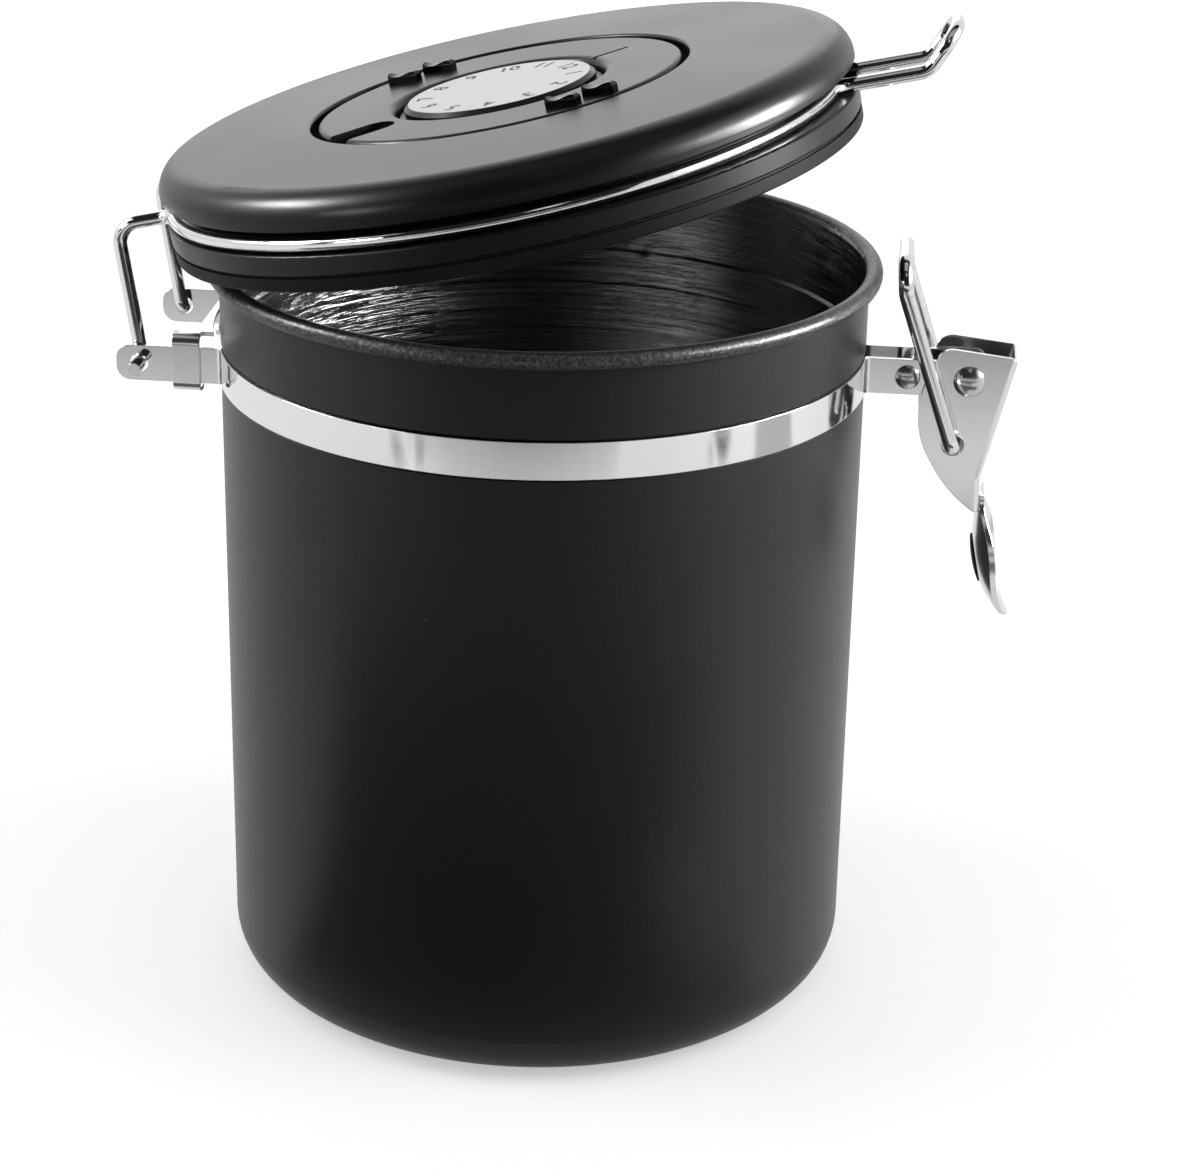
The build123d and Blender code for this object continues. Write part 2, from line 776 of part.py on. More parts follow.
def dial_ring():
    lip_radius = dial_hole_radius - dial_lip
    lip_top = dial_low + dial_lip_height
    face = outline(
        (lip_radius, dial_low),
        (dial_radius, dial_low),
        (dial_radius, dial_top),
        (dial_hole_radius, dial_top),
        (dial_hole_radius, lip_top),
        (lip_radius, lip_top),
    )
    face = rounded(face, dial_edge_radius, (dial_radius, dial_top))
    face = rounded(face, dial_dish_radius, (dial_hole_radius, dial_top))
    ring = turned(face)
    half = notch_width / 2
    end = dial_radius - notch_length + half
    slot = Rectangle(notch_length + overrun, notch_width, align=(Align.MIN, Align.CENTER))
    slot = Pos(end, 0) * (slot + Circle(half))
    floor_end = dial_top - notch_end_depth
    below = across(
        outline(
            (end - half, floor_end),
            (dial_radius, floor_end - notch_rise),
            (dial_radius + overrun, floor_end - notch_rise),
            (dial_radius + overrun, dial_top + overrun),
            (end - half, dial_top + overrun),
        ),
        notch_width,
    )
    ring -= Rot(0, 0, notch_angle) * (upright(slot, dial_low, pocket_depth + overrun) & below)
    pointer = Rectangle(pointer_length, pointer_width, align=(Align.MIN, Align.CENTER))
    cut = upright(Pos(pointer_start, 0) * pointer, dial_top - pointer_depth, overrun)
    ring -= Rot(0, 0, pointer_angle) * cut
    seat = Rectangle(nub_length + 2 * press_gap, nub_width + 2 * press_gap)
    depth = nub_seat + press_gap
    ring -= nubs(upright(seat, -depth, overrun))
    return on_lid(ring)


def grip_nubs():
    return on_lid(Compound(children=nubs(grip_nub())))


def dial_hub():
    """Cup that holds the dial ring down by its foot, with a post for its screw."""
    roof_low = hub_top - hub_roof
    foot_top = hub_low + hub_foot_height
    seat_radius = plate_radius + press_gap
    lip_top = hub_top + plate_sheet
    hub = turned(
        outline(
            (0, roof_low),
            (hub_radius - hub_wall, roof_low),
            (hub_radius - hub_wall, hub_low),
            (hub_foot_radius, hub_low),
            (hub_foot_radius, foot_top),
            (hub_radius, foot_top),
            (hub_radius, lip_top - hub_bevel_drop),
            (seat_radius, lip_top),
            (seat_radius, hub_top),
            (0, hub_top),
        )
    )
    post_low = pocket_floor + press_gap
    hub += upright(Circle(hub_post_diameter / 2), post_low, hub_top - hub_roof / 2 - post_low)
    hub -= upright(Circle(hub_screw_diameter / 2 + press_gap), post_low, hub_screw_bite + press_gap)
    return on_lid(hub)


def number_plate():
    plate = upright(Circle(plate_radius), hub_top + press_gap, plate_sheet)
    return on_lid(plate)


def screw(diameter, length, head_diameter, head_height):
    """Screw along Z with its head under the origin and its shank above it."""
    head = upright(Circle(head_diameter / 2), -head_height, head_height)
    recess = RegularPolygon(head_diameter / 4, 6)
    head -= upright(recess, -head_height, head_height / 2)
    return head + upright(Circle(diameter / 2), 0, length)


def hub_screw():
    low = pocket_floor - cover_sheet - press_gap
    length = cover_sheet + press_gap + hub_screw_bite
    bolt = screw(hub_screw_diameter, length, hub_screw_head_diameter, hub_screw_head_height)
    return on_lid(Pos(0, 0, low) * bolt)


def lid_screws():
    head_top = lid_screw_head_height - plug_depth
    length = screw_pad_top - head_top + lid_screw_bite
    bolt = screw(lid_screw_diameter, length, lid_screw_head_diameter, lid_screw_head_height)
    bolts = around(Pos(cover_boss_circle, 0, head_top) * bolt, lid_screw_count)
    return on_lid(Compound(children=bolts))


def valve_flap():
    """Umbrella flap: disc, stem through the seat and a barb under it."""
    barb_top = seat_low - flap_lift
    barb_low = barb_top - flap_barb_height
    stem = flap_stem_diameter / 2
    flap = turned(
        outline(
            (0, barb_low),
            (stem, barb_low),
            (flap_barb_diameter / 2, barb_top),
            (stem, barb_top),
            (stem, flap_low),
            (flap_radius, flap_low),
            (flap_radius, flap_low + flap_sheet / 2),
            (flap_radius / 2, flap_low + flap_sheet),
            (0, flap_low + flap_sheet),
        )
    )
    return on_lid(flap)


def valve_cage():
    """Ring, hub and spokes over the flap, with a spigot into the collar."""
    low = collar_top + press_gap
    spigot = collar_radius - collar_wall - press_gap
    cage = upright(Circle(collar_radius) - Circle(cage_window_radius), low, cage_sheet)
    cage += upright(Circle(cage_hub_radius), low, cage_sheet)
    spoke = Rectangle(cage_window_radius + press_gap, cage_spoke_width, align=(Align.MIN, Align.CENTER))
    cage += around(upright(spoke, low, cage_sheet), cage_spoke_count)
    spigot_low = low - cage_spigot_depth
    ring = ring_outline(spigot, spigot - cage_spigot_wall, spigot_low, low + cage_sheet / 2)
    return on_lid(cage + turned(ring))


def filter_grille():
    """Slotted cap in the well, with a wall round the filter disc."""
    wall_top = well_top - press_gap
    grille = upright(Circle(grille_radius), -plug_depth, grille_sheet)
    grille += turned(ring_outline(grille_radius, grille_radius - grille_wall, -plug_depth, wall_top))
    reach = grille_radius - 2 * grille_wall
    for i in range(grille_slot_count):
        y = (i - (grille_slot_count - 1) / 2) * grille_slot_pitch
        length = 2 * sqrt(reach**2 - y**2)
        slot = Pos(0, y) * SlotOverall(length, grille_slot_width)
        grille -= upright(slot, -plug_depth - overrun, 2 * overrun)
    return on_lid(grille)


def filter_disc():
    low = grille_sheet - plug_depth + press_gap
    return on_lid(upright(Circle(filter_radius), low, filter_sheet))


def on_lever(point):
    """Place in the XZ plane of a point that is given from the lever's pivot."""
    return (latch_x + point[0], pivot_height + point[1])


def lever_side():
    """Outline of the lever's cheeks, seen from the front."""
    back_top = on_lever(lever_top_back)
    knee = on_lever(lever_front_knee)
    low = on_lever(lever_front_low)
    neck = on_lever(lever_neck_front)
    edges = [
        Line(on_lever(lever_neck_back), neck),
        ThreePointArc(neck, on_lever(lever_front_toe), low),
        ThreePointArc(low, on_lever(lever_front_belly), knee),
        Line(knee, on_lever(lever_top_front)),
        Line(on_lever(lever_top_front), back_top),
        Line(back_top, on_lever(lever_back_low)),
        Line(on_lever(lever_back_low), on_lever(lever_neck_back)),
    ]
    side = rounded(make_face(edges), lever_front_corner, on_lever(lever_top_front))
    return rounded(side, lever_back_corner, back_top)


def lever_channel():
    """Sheet folded into a channel along the lever's back, cut to the cheeks' outline."""
    top = on_lever(lever_top_back)
    low = on_lever(lever_back_low)
    above = (2 * top[0] - low[0], 2 * top[1] - low[1])
    path = Plane.XZ * Polyline(above, low, on_lever(lever_neck_back))
    depth = lever_top_back[0] - lever_front_belly[0] + overrun
    half = lever_width / 2
    outer = Rectangle(depth, lever_width, align=(Align.MAX, Align.CENTER))
    outer = rounded(outer, lever_fold_radius, (0, half), (0, -half))
    inner = Rectangle(depth, lever_width - 2 * lever_sheet, align=(Align.MAX, Align.CENTER))
    inner = rounded(inner, lever_fold_radius - lever_sheet, (0, half), (0, -half))
    section = outer - Pos(-lever_sheet, 0) * inner
    down = path % 0
    start = Plane(origin=path @ 0, x_dir=down.cross(Vector(0, 1, 0)), z_dir=down)
    folded = sweep(start * section, path=path, transition=Transition.RIGHT)
    return folded & across(lever_side(), lever_width)


def tab_strip(sheet, width):
    """Dished strip along the tab's length, hollow towards the outside."""
    path = Line(on_lever(tab_start), on_lever(tab_waist))
    path += TangentArc(on_lever(tab_waist), on_lever(tab_tip), tangent=path % 1)
    path = Plane.XZ * path
    section = Circle(tab_dish_radius + sheet / 2) - Circle(tab_dish_radius - sheet / 2)
    section = Pos(tab_dish_radius, 0) * section
    section &= Rectangle(2 * tab_dish_radius, width)
    start = Plane(origin=path @ 0, x_dir=(1, 0, 0), z_dir=path % 0)
    return sweep(start * section, path=path)


def tab_height(share):
    """Height of a place on the tab, as a share of the way from start to tip."""
    return pivot_height + tab_start[1] + share * (tab_tip[1] - tab_start[1])


def seen_from_latch(face):
    """Prism along X from an outline of (y, z)."""
    return Pos(body_radius, 0, 0) * extrude(Plane.YZ * face, amount=body_radius)


def latch_lever():
    half = tab_width / 2
    side = [(half * width, tab_height(share)) for share, width in tab_outline_shares]
    other = [(-y, z) for y, z in reversed(side)]
    edge = Spline(*side, (0, tab_height(1)), *other)
    spade = make_face([edge, Line(edge @ 1, edge @ 0)])
    lever = lever_channel() + (tab_strip(lever_sheet, tab_width + overrun) & seen_from_latch(spade))
    lever -= seen_from_latch(pad_outline(press_gap))
    lever -= rod_along_y(rivet_diameter / 2 + pivot_clearance, lever_width + overrun, *on_lever((0, 0)))
    return lever - rod_along_y(bail_hole_diameter / 2, lever_width + overrun, *on_lever(bail_hole_place))


def pad_outline(grow):
    """Oval of the thumb pad, seen from the latch side."""
    oval = Ellipse(pad_width / 2 + grow, pad_height / 2 + grow)
    return Pos(0, tab_height(pad_centre_share)) * oval


def thumb_pad():
    return tab_strip(pad_sheet, tab_width) & seen_from_latch(pad_outline(0))


def latch_bail():
    """Wire loop with a crank near its top and a pin bent into each cheek."""
    x, z = on_lever(bail_hole_place)
    pin_y = lever_width / 2 - lever_sheet - bail_pin_inside
    low_y = bail_low_spacing / 2
    top_y = bail_top_spacing / 2
    crank_x = bail_top_x + bail_crank_offset
    crank_z = bail_top - bail_crank_below_top
    near = [
        (x, -pin_y, z),
        (x, -low_y, z),
        (crank_x, -top_y, crank_z),
        (bail_top_x, -top_y, bail_top),
    ]
    far = [(place[0], -place[1], place[2]) for place in reversed(near)]
    bends = [bail_pin_bend, bail_crank_bend, bail_top_bend]
    path = FilletPolyline(*near, *far, radius=bends + bends[::-1])
    return wire_along(path, bail_wire_radius)


def main():
    pieces = {
        "canister_shell": canister_shell(),
        "band_front": band_front(),
    }
    pieces["band_rear"] = mirror(pieces["band_front"], Plane.XZ)
    pieces["hinge_bridge"] = hinge_bridge()
    pieces["latch_spacer"] = latch_spacer()
    pieces["spacer_rivet"] = spacer_rivet()
    pieces["pivot_rivet"] = pivot_rivet()
    pieces["lid_wire"] = lid_wire()
    pieces["lid_base"] = lid_base()
    pieces["lid_seal"] = lid_seal()
    pieces["lid_cover"] = lid_cover()
    pieces["dial_ring"] = dial_ring()
    pieces["grip_nubs"] = grip_nubs()
    pieces["dial_hub"] = dial_hub()
    pieces["number_plate"] = number_plate()
    pieces["hub_screw"] = hub_screw()
    pieces["valve_flap"] = valve_flap()
    pieces["valve_cage"] = valve_cage()
    pieces["filter_disc"] = filter_disc()
    pieces["filter_grille"] = filter_grille()
    pieces["lid_screws"] = lid_screws()
    pieces["latch_lever"] = latch_lever()
    pieces["thumb_pad"] = thumb_pad()
    pieces["latch_bail"] = latch_bail()
    os.makedirs("parts", exist_ok=True)
    for name, piece in pieces.items():
        export_step(piece, f"parts/{name}.step")


main()
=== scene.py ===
import json
from math import cos, pi, radians, sin

import bpy
from bpy.props import FloatProperty, FloatVectorProperty, PointerProperty
from bpy.types import Operator, Panel, PropertyGroup
from mathutils import Matrix, Vector


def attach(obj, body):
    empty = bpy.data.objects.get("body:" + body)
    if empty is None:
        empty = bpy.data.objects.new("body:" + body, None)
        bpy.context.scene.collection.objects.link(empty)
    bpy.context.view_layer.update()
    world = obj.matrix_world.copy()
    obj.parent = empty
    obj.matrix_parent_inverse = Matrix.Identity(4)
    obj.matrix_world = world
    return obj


bl_info = {
    "name": "Coffee canister looks",
    "version": (1, 0, 0),
    "blender": (4, 5, 0),
    "location": "3D View > Sidebar > Canister",
    "description": "Finishes, printed dial and studio for a clamp-lid coffee canister",
    "category": "Object",
}

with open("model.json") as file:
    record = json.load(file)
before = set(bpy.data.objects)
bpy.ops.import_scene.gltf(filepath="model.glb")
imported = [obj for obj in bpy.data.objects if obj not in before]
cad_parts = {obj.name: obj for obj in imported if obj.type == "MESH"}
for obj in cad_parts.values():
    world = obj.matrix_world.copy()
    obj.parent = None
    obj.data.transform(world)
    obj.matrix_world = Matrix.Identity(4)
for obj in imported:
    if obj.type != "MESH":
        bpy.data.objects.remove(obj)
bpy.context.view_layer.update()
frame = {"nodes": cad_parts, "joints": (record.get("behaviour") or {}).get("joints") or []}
MM = 0.001

# The lid stands a little open at rest, so its own axis comes from the dial's joint.
dial_turn = next(joint for joint in frame["joints"] if joint["name"] == "dial_turn")
lid_axis = Vector(dial_turn["axis"]).normalized()
lid_across = Vector((0, 1, 0))
lid_forward = lid_across.cross(lid_axis).normalized()

# The camera: the photograph's place, direction and lens.
CAMERA_PLACE = (64.1 * MM, -539.7 * MM, 298.0 * MM)
CAMERA_AZIMUTH = radians(5.51)
CAMERA_PITCH = radians(22.37)
CAMERA_ROLL = radians(1.18)
CAMERA_LENS = 91.26
CAMERA_SHIFT = (-0.0025, 0.00125)
CAMERA_NEAR = 10 * MM

# Where the powder coat ends at the mouth of the canister, and where the steel floor
# inside lies.
COAT_EDGE_RADIUS = 59.4 * MM
COAT_EDGE_HEIGHT = 141.6 * MM
INSIDE_FLOOR_RADIUS = 50.0 * MM
INSIDE_FLOOR_HEIGHT = 1.4 * MM

# The brushing inside: how much closer its lines lie down the wall than round it.
BRUSHING_ROUND = 2.2
BRUSHING_DOWN = 150.0

# The rolled rim, where the coat is thin and metal flecks shine a little, and where the coat's
# colour is painted lighter as a painted sheen.
RIM_LOW = 138.5 * MM
RIM_FADE = 0.8 * MM

# How far the cut edges of sheet and wire are worn round.
EDGE_WEAR = 0.18 * MM

# The numbers printed on the dial's plate: 12 stands this far round from the lid's catch.
# The figures' strokes are made bolder by a share of their height.
TWELVE_ANGLE = 30.0
HOUR_ANGLE = 30.0
PRINT_THICKNESS = 0.02 * MM
PRINT_BOLDNESS = 0.02

# The floor: half its width, how far it lies below the canister, the distances between
# which it fades to plain white with their two levels, and its level in reflections.
FLOOR_HALF = 3.0
FLOOR_DROP = 0.2 * MM
FLOOR_FADE = (0.6, 1.8)
FLOOR_GLOW = (0.45, 1.0)
FLOOR_MIRRORED = 0.35

# Lamps: name, place, size, and the setting that holds the power.
LAMP_TARGET = (0, 0, 0.12)
LAMPS = (
    ("back_panel", (-0.29, 1.25, 0.62), (1.1, 0.85), "back_power"),
    ("left_panel", (-1.0, -0.1, 0.7), (0.7, 0.7), "left_power"),
    ("right_panel", (1.0, -0.1, 0.7), (0.7, 0.7), "right_power"),
    ("top_panel", (0.0, -0.2, 1.25), (1.0, 0.7), "top_power"),
)

# Bright boxes that face the rim: name, place, width, height, and share of the highlight.
RIM_MIDDLE = (0, 0, 0.14)
BOXES = (
    ("left_box", (-0.84, 0.0, 0.68), 0.34, 0.18, 8.0),
    ("right_box", (0.96, 0.08, 0.42), 0.42, 0.26, 11.0),
    ("low_right_box", (0.92, -0.25, 0.45), 0.36, 0.22, 3.5),
    ("front_left_box", (-0.71, -0.66, 0.37), 0.25, 0.12, 2.0),
)

# Dark cards that keep the lid and the coat from mirroring the white room, and a paler
# box over the front.
DARK_FRONT = [(-2.2, -1.1, 0.22), (1.0, -1.1, 0.22), (1.0, -0.9, 1.3), (-2.2, -0.9, 1.3)]
DARK_CEILING = [(-1.0, -0.95, 1.32), (1.0, -0.95, 1.32), (1.0, 0.6, 1.32), (-1.0, 0.6, 1.32)]
DARK_LEVEL = 0.02
FRONT_BOX_PLACE = (0.13, -0.93, 1.0)
FRONT_BOX_SIZE = (0.20, 0.45)

# Cards on the floor, which the band, the wires and the latch mirror. The upper ones lie
# over the lower ones.
LOWER_CARD = 0.6 * MM
UPPER_CARD = 1.2 * MM
GREY_FRONT = [
    (-0.20, -0.28),
    (0.14, -0.28),
    (0.26, -0.40),
    (0.22, -0.52),
    (-0.25, -0.52),
    (-0.31, -0.40),
]
GREY_FRONT_TONES = [1.4, 0.82, 0.55, 0.10, 0.02]
DARK_FLOOR = [(-0.6, -0.52), (0.6, -0.52), (0.9, -1.6), (-0.9, -1.6)]
APRON_INNER = 0.075
APRON_OUTER = 0.262
APRON_TURN = 60
APRON_STEP = 15
TAB_CARD = [(0.07, -0.05), (0.13, -0.05), (0.13, -0.11), (0.07, -0.10)]
GREY_RIGHT = [(0.30, -0.06), (0.48, -0.075), (0.50, 0.04), (0.30, 0.05)]
STREAKS = (
    ("streak_left", 0.45, [(-0.284, -0.292), (-0.265, -0.309), (-0.231, -0.305), (-0.250, -0.288)]),
    (
        "streak_left_soft",
        0.50,
        [(-0.232, -0.336), (-0.212, -0.350), (-0.199, -0.327), (-0.213, -0.317)],
    ),
    ("streak_right", 0.14, [(0.365, -0.186), (0.385, -0.133), (0.352, -0.144), (0.348, -0.157)]),
    ("streak_right_small", 0.45, [(0.351, -0.182), (0.342, -0.170), (0.333, -0.189)]),
    ("streak_back", 0.05, [(0.332, 0.231), (0.301, 0.267), (0.257, 0.270), (0.286, 0.237)]),
)


def grey(level):
    """An even grey, as a colour with alpha."""
    return (level, level, level, 1)


def shade(colour, factor):
    """The same colour, lighter or darker."""
    return tuple(min(channel * factor, 1.0) for channel in tuple(colour)[:3]) + (1,)


def colour_of(name, description, colour):
    return FloatVectorProperty(
        name=name,
        description=description,
        subtype="COLOR",
        size=4,
        min=0,
        max=1,
        default=colour,
    )


def share_of(name, description, default):
    return FloatProperty(
        name=name,
        description=description,
        default=default,
        min=0,
        max=1,
        subtype="FACTOR",
    )


def length_of(name, description, default):
    return FloatProperty(
        name=name,
        description=description,
        default=default,
        min=0,
        unit="LENGTH",
        precision=4,
    )


def power_of(name, description, default):
    return FloatProperty(name=name, description=description, default=default, min=0, unit="POWER")


class CanisterFinishes(PropertyGroup):
    """Colours and finishes that a user would change."""

    body_colour: colour_of("Body colour", "Powder coat on the canister", grey(0.0045))
    body_roughness: share_of("Body roughness", "How matte the powder coat is", 0.37)
    # The inside steel is set far darker than the band's steel, as painted shade of the canister's
    # inside.
    inside_colour: colour_of("Inside colour", "Brushed steel inside", (0.24, 0.24, 0.245, 1))
    lid_colour: colour_of("Lid colour", "Moulded plastic of the lid and dial", grey(0.0035))
    lid_roughness: share_of("Lid roughness", "How matte the lid's plastic is", 0.31)
    steel_colour: colour_of("Steel colour", "Steel of band, latch and wire", (0.70, 0.70, 0.705, 1))
    band_roughness: share_of("Band roughness", "How blurred the band's reflections are", 0.07)
    sheet_roughness: share_of("Sheet roughness", "How blurred the sheet's reflections are", 0.17)
    wire_roughness: share_of("Wire roughness", "How blurred the wire's reflections are", 0.08)
    silicone_colour: colour_of("Silicone colour", "The lid's seal and the lever's pad", grey(0.006))
    plate_colour: colour_of("Plate colour", "Number plate in the dial", (0.74, 0.74, 0.735, 1))
    print_colour: colour_of("Print colour", "Numbers on the plate", grey(0.02))
    number_size: length_of("Number size", "Font size of the numbers on the plate", 4.3 * MM)
    number_circle: length_of("Number circle", "Radius at which the numbers stand", 13.7 * MM)


class CanisterStudio(PropertyGroup):
    """Lamps and background of the studio."""

    back_power: power_of("Back panel", "Soft panel behind, which lights the lid's top", 2.2)
    left_power: power_of("Left panel", "Soft panel on the hinge's side", 3.0)
    right_power: power_of("Right panel", "Soft panel on the latch's side", 3.0)
    top_power: power_of("Top panel", "Soft panel over the canister", 0.9)
    highlight: FloatProperty(
        name="Highlight",
        description="Level of the bright boxes that show only in reflections",
        default=10.0,
        min=0,
    )
    ambient: share_of("Ambient", "Level of the even light from all round", 0.45)
    floor_colour: colour_of("Floor colour", "Plain floor", grey(0.86))
    card_tone: share_of("Grey cards", "Level of the grey cards that the bright metal mirrors", 1.0)


def finishes():
    return bpy.context.scene.canister_finishes


def studio():
    return bpy.context.scene.canister_studio


class Recipe:
    """A material's node tree, with short calls to add and join nodes."""

    def __init__(self, name):
        self.material = bpy.data.materials.new(name)
        self.material.use_nodes = True
        self.tree = self.material.node_tree
        self.shader = self.tree.nodes["Principled BSDF"]

    def node(self, kind, **settings):
        node = self.tree.nodes.new(kind)
        for key, value in settings.items():
            setattr(node, key, value)
        return node

    def join(self, source, target):
        self.tree.links.new(source, target)

    def feed(self, socket, value):
        """Join a socket, or set it to a number or colour."""
        if hasattr(value, "is_output"):
            self.join(value, socket)
        else:
            socket.default_value = value

    def set(self, **values):
        """Set or join sockets of the main shader by name, with underscores for spaces."""
        for key, value in values.items():
            self.feed(self.shader.inputs[key.replace("_", " ")], value)

    def coordinates(self, scale=(1, 1, 1)):
        """Place on the piece in metres, stretched by a scale."""
        place = self.node("ShaderNodeTexCoord")
        mapping = self.node("ShaderNodeMapping")
        mapping.inputs["Scale"].default_value = scale
        self.join(place.outputs["Object"], mapping.inputs["Vector"])
        return mapping.outputs["Vector"]

    def split(self, vector):
        """The three outputs of a vector, by axis."""
        node = self.node("ShaderNodeSeparateXYZ")
        self.join(vector, node.inputs["Vector"])
        return node.outputs

    def noise(self, vector, per_metre, detail=3.0, roughness=0.5):
        node = self.node("ShaderNodeTexNoise")
        self.feed(node.inputs["Scale"], per_metre)
        self.feed(node.inputs["Detail"], detail)
        self.feed(node.inputs["Roughness"], roughness)
        self.join(vector, node.inputs["Vector"])
        return node.outputs["Fac"]

    def between(self, value, low, high, from_low=0.0, from_high=1.0):
        """Low to high, as a value runs from one end of its own range to the other."""
        node = self.node("ShaderNodeMapRange")
        self.feed(node.inputs["From Min"], from_low)
        self.feed(node.inputs["From Max"], from_high)
        self.feed(node.inputs["To Min"], low)
        self.feed(node.inputs["To Max"], high)
        self.join(value, node.inputs["Value"])
        return node.outputs["Result"]

    def ramp(self, value, start, stop):
        """0 to 1 between two levels of a value."""
        return self.between(value, 0.0, 1.0, start, stop)

    def math(self, operation, first, second=0.0):
        node = self.node("ShaderNodeMath", operation=operation)
        self.feed(node.inputs[0], first)
        self.feed(node.inputs[1], second)
        return node.outputs["Value"]

    def mix(self, kind, factor, first, second):
        node = self.node("ShaderNodeMix", data_type=kind)
        for name, value in (("Factor", factor), ("A", first), ("B", second)):
            self.feed(next(s for s in node.inputs if s.name == name and s.enabled), value)
        return next(s for s in node.outputs if s.enabled)

    def mix_colour(self, factor, first, second):
        return self.mix("RGBA", factor, first, second)

    def shades(self, factor, colour, dark, light):
        """One colour, from darker to lighter."""
        return self.mix_colour(factor, shade(colour, dark), shade(colour, light))

    def mix_value(self, factor, first, second):
        return self.mix("FLOAT", factor, first, second)

    def specks(self, vector, per_metre, share, radius):
        """A mask of sparse small round specks of dust."""
        node = self.node("ShaderNodeTexVoronoi")
        self.feed(node.inputs["Scale"], per_metre)
        self.join(vector, node.inputs["Vector"])
        near = self.math("LESS_THAN", node.outputs["Distance"], radius * per_metre)
        colour = self.node("ShaderNodeSeparateColor")
        self.join(node.outputs["Color"], colour.inputs["Color"])
        chosen = self.math("LESS_THAN", colour.outputs["Red"], share)
        return self.math("MULTIPLY", near, chosen)

    def bump(self, height, distance, strength=1.0, under=None):
        """Raise the surface by a height, over another bump or edge if one is given."""
        node = self.node("ShaderNodeBump")
        node.inputs["Strength"].default_value = strength
        node.inputs["Distance"].default_value = distance
        self.join(height, node.inputs["Height"])
        if under:
            self.join(under, node.inputs["Normal"])
        self.set(Normal=node.outputs["Normal"])
        return node.outputs["Normal"]


def from_axis(recipe, place):
    """Distance from the canister's axis."""
    squares = [recipe.math("POWER", place[axis], 2.0) for axis in ("X", "Y")]
    return recipe.math("SQRT", recipe.math("ADD", *squares))


def faces_axis(recipe, place):
    """1 where a surface looks towards the canister's axis."""
    flat = recipe.node("ShaderNodeCombineXYZ")
    for axis in ("X", "Y"):
        recipe.join(place[axis], flat.inputs[axis])
    geometry = recipe.node("ShaderNodeNewGeometry")
    outward = recipe.node("ShaderNodeVectorMath", operation="DOT_PRODUCT")
    recipe.join(flat.outputs["Vector"], outward.inputs[0])
    recipe.join(geometry.outputs["Normal"], outward.inputs[1])
    return recipe.math("LESS_THAN", outward.outputs["Value"], 0.0)


def steel_mask(recipe, place, radius):
    """1 on the bare steel inside the canister, 0 on the coat."""
    on_floor = recipe.math(
        "MULTIPLY",
        recipe.math("LESS_THAN", radius, INSIDE_FLOOR_RADIUS),
        recipe.math("GREATER_THAN", place["Z"], INSIDE_FLOOR_HEIGHT),
    )
    looks_in = recipe.math("MAXIMUM", faces_axis(recipe, place), on_floor)
    within = recipe.math("LESS_THAN", radius, COAT_EDGE_RADIUS)
    below_rim = recipe.math("LESS_THAN", place["Z"], COAT_EDGE_HEIGHT)
    return recipe.math("MULTIPLY", recipe.math("MULTIPLY", looks_in, within), below_rim)


def rim_mask(recipe, place, steel):
    """1 on the coated part of the rolled rim, fading out below it."""
    rim = recipe.ramp(place["Z"], RIM_LOW, RIM_LOW + RIM_FADE)
    return recipe.math("MULTIPLY", rim, recipe.math("SUBTRACT", 1.0, steel))


def brushing_place(recipe, place, radius):
    """A place for noise, pressed together so that its lines run round the canister."""
    along = recipe.node("ShaderNodeCombineXYZ")
    for axis in ("X", "Y"):
        recipe.join(recipe.math("MULTIPLY", place[axis], BRUSHING_ROUND), along.inputs[axis])
    down = recipe.math("ADD", place["Z"], radius)
    recipe.join(recipe.math("MULTIPLY", down, BRUSHING_DOWN), along.inputs["Z"])
    return along.outputs["Vector"]


def body_coat():
    """Satin powder coat outside and over the rim, circular-brushed steel inside."""
    look = finishes()
    recipe = Recipe("powder_coat_and_steel")
    vector = recipe.coordinates()
    place = recipe.split(vector)
    radius = from_axis(recipe, place)
    steel = steel_mask(recipe, place, radius)
    rim = rim_mask(recipe, place, steel)
    along = brushing_place(recipe, place, radius)

    # The coat, a little cloudy and dusty.
    cloud = recipe.noise(vector, per_metre=14.0, detail=3.0)
    dust = recipe.specks(vector, per_metre=150.0, share=0.10, radius=0.13 * MM)
    coat_tone = recipe.shades(recipe.ramp(cloud, 0.3, 0.7), look.body_colour, 0.9, 1.25)
    coat_tone = recipe.mix_colour(dust, coat_tone, grey(0.10))
    rough = look.body_roughness
    coat_rough = recipe.between(cloud, rough - 0.02, rough + 0.03, 0.3, 0.7)

    # The rim, where metal flecks glint through the coat, and where the coat is painted lighter,
    # with lighter flecks, as a painted sheen.
    flecks = recipe.noise(vector, per_metre=1700.0, detail=3.0, roughness=0.7)
    metal_fleck_and_painted_sheen = recipe.ramp(flecks, 0.44, 0.62)
    # Painted sheen: the rim's coat colour is lifted to grey, and lighter still in the flecks.
    coat_tone = recipe.mix_colour(rim, coat_tone, recipe.mix_colour(metal_fleck_and_painted_sheen, grey(0.022), grey(0.10)))
    shine = recipe.math("MULTIPLY", rim, recipe.between(metal_fleck_and_painted_sheen, 0.18, 0.75))

    # The steel, with darker and lighter lines, its colour darkened as painted shade of the
    # canister's inside.
    lines = recipe.ramp(recipe.noise(along, per_metre=11.0, detail=4.0, roughness=0.6), 0.34, 0.68)
    steel_tone = recipe.shades(lines, look.inside_colour, 0.7, 1.2)
    steel_rough = recipe.between(lines, 0.16, 0.26)

    recipe.set(
        Base_Color=recipe.mix_colour(steel, coat_tone, steel_tone),
        Metallic=recipe.math("MAXIMUM", steel, shine),
        Specular_IOR_Level=0.27,
        Roughness=recipe.mix_value(steel, coat_rough, steel_rough),
    )

    # Brushing is this many times as deep as the coat's grain.
    grain = recipe.noise(vector, per_metre=2300.0, detail=2.0, roughness=0.6)
    brushing = recipe.math("MULTIPLY", recipe.noise(along, per_metre=34.0, detail=2.0), 5.0)
    recipe.bump(recipe.mix_value(steel, grain, brushing), distance=0.024 * MM)
    return recipe.material


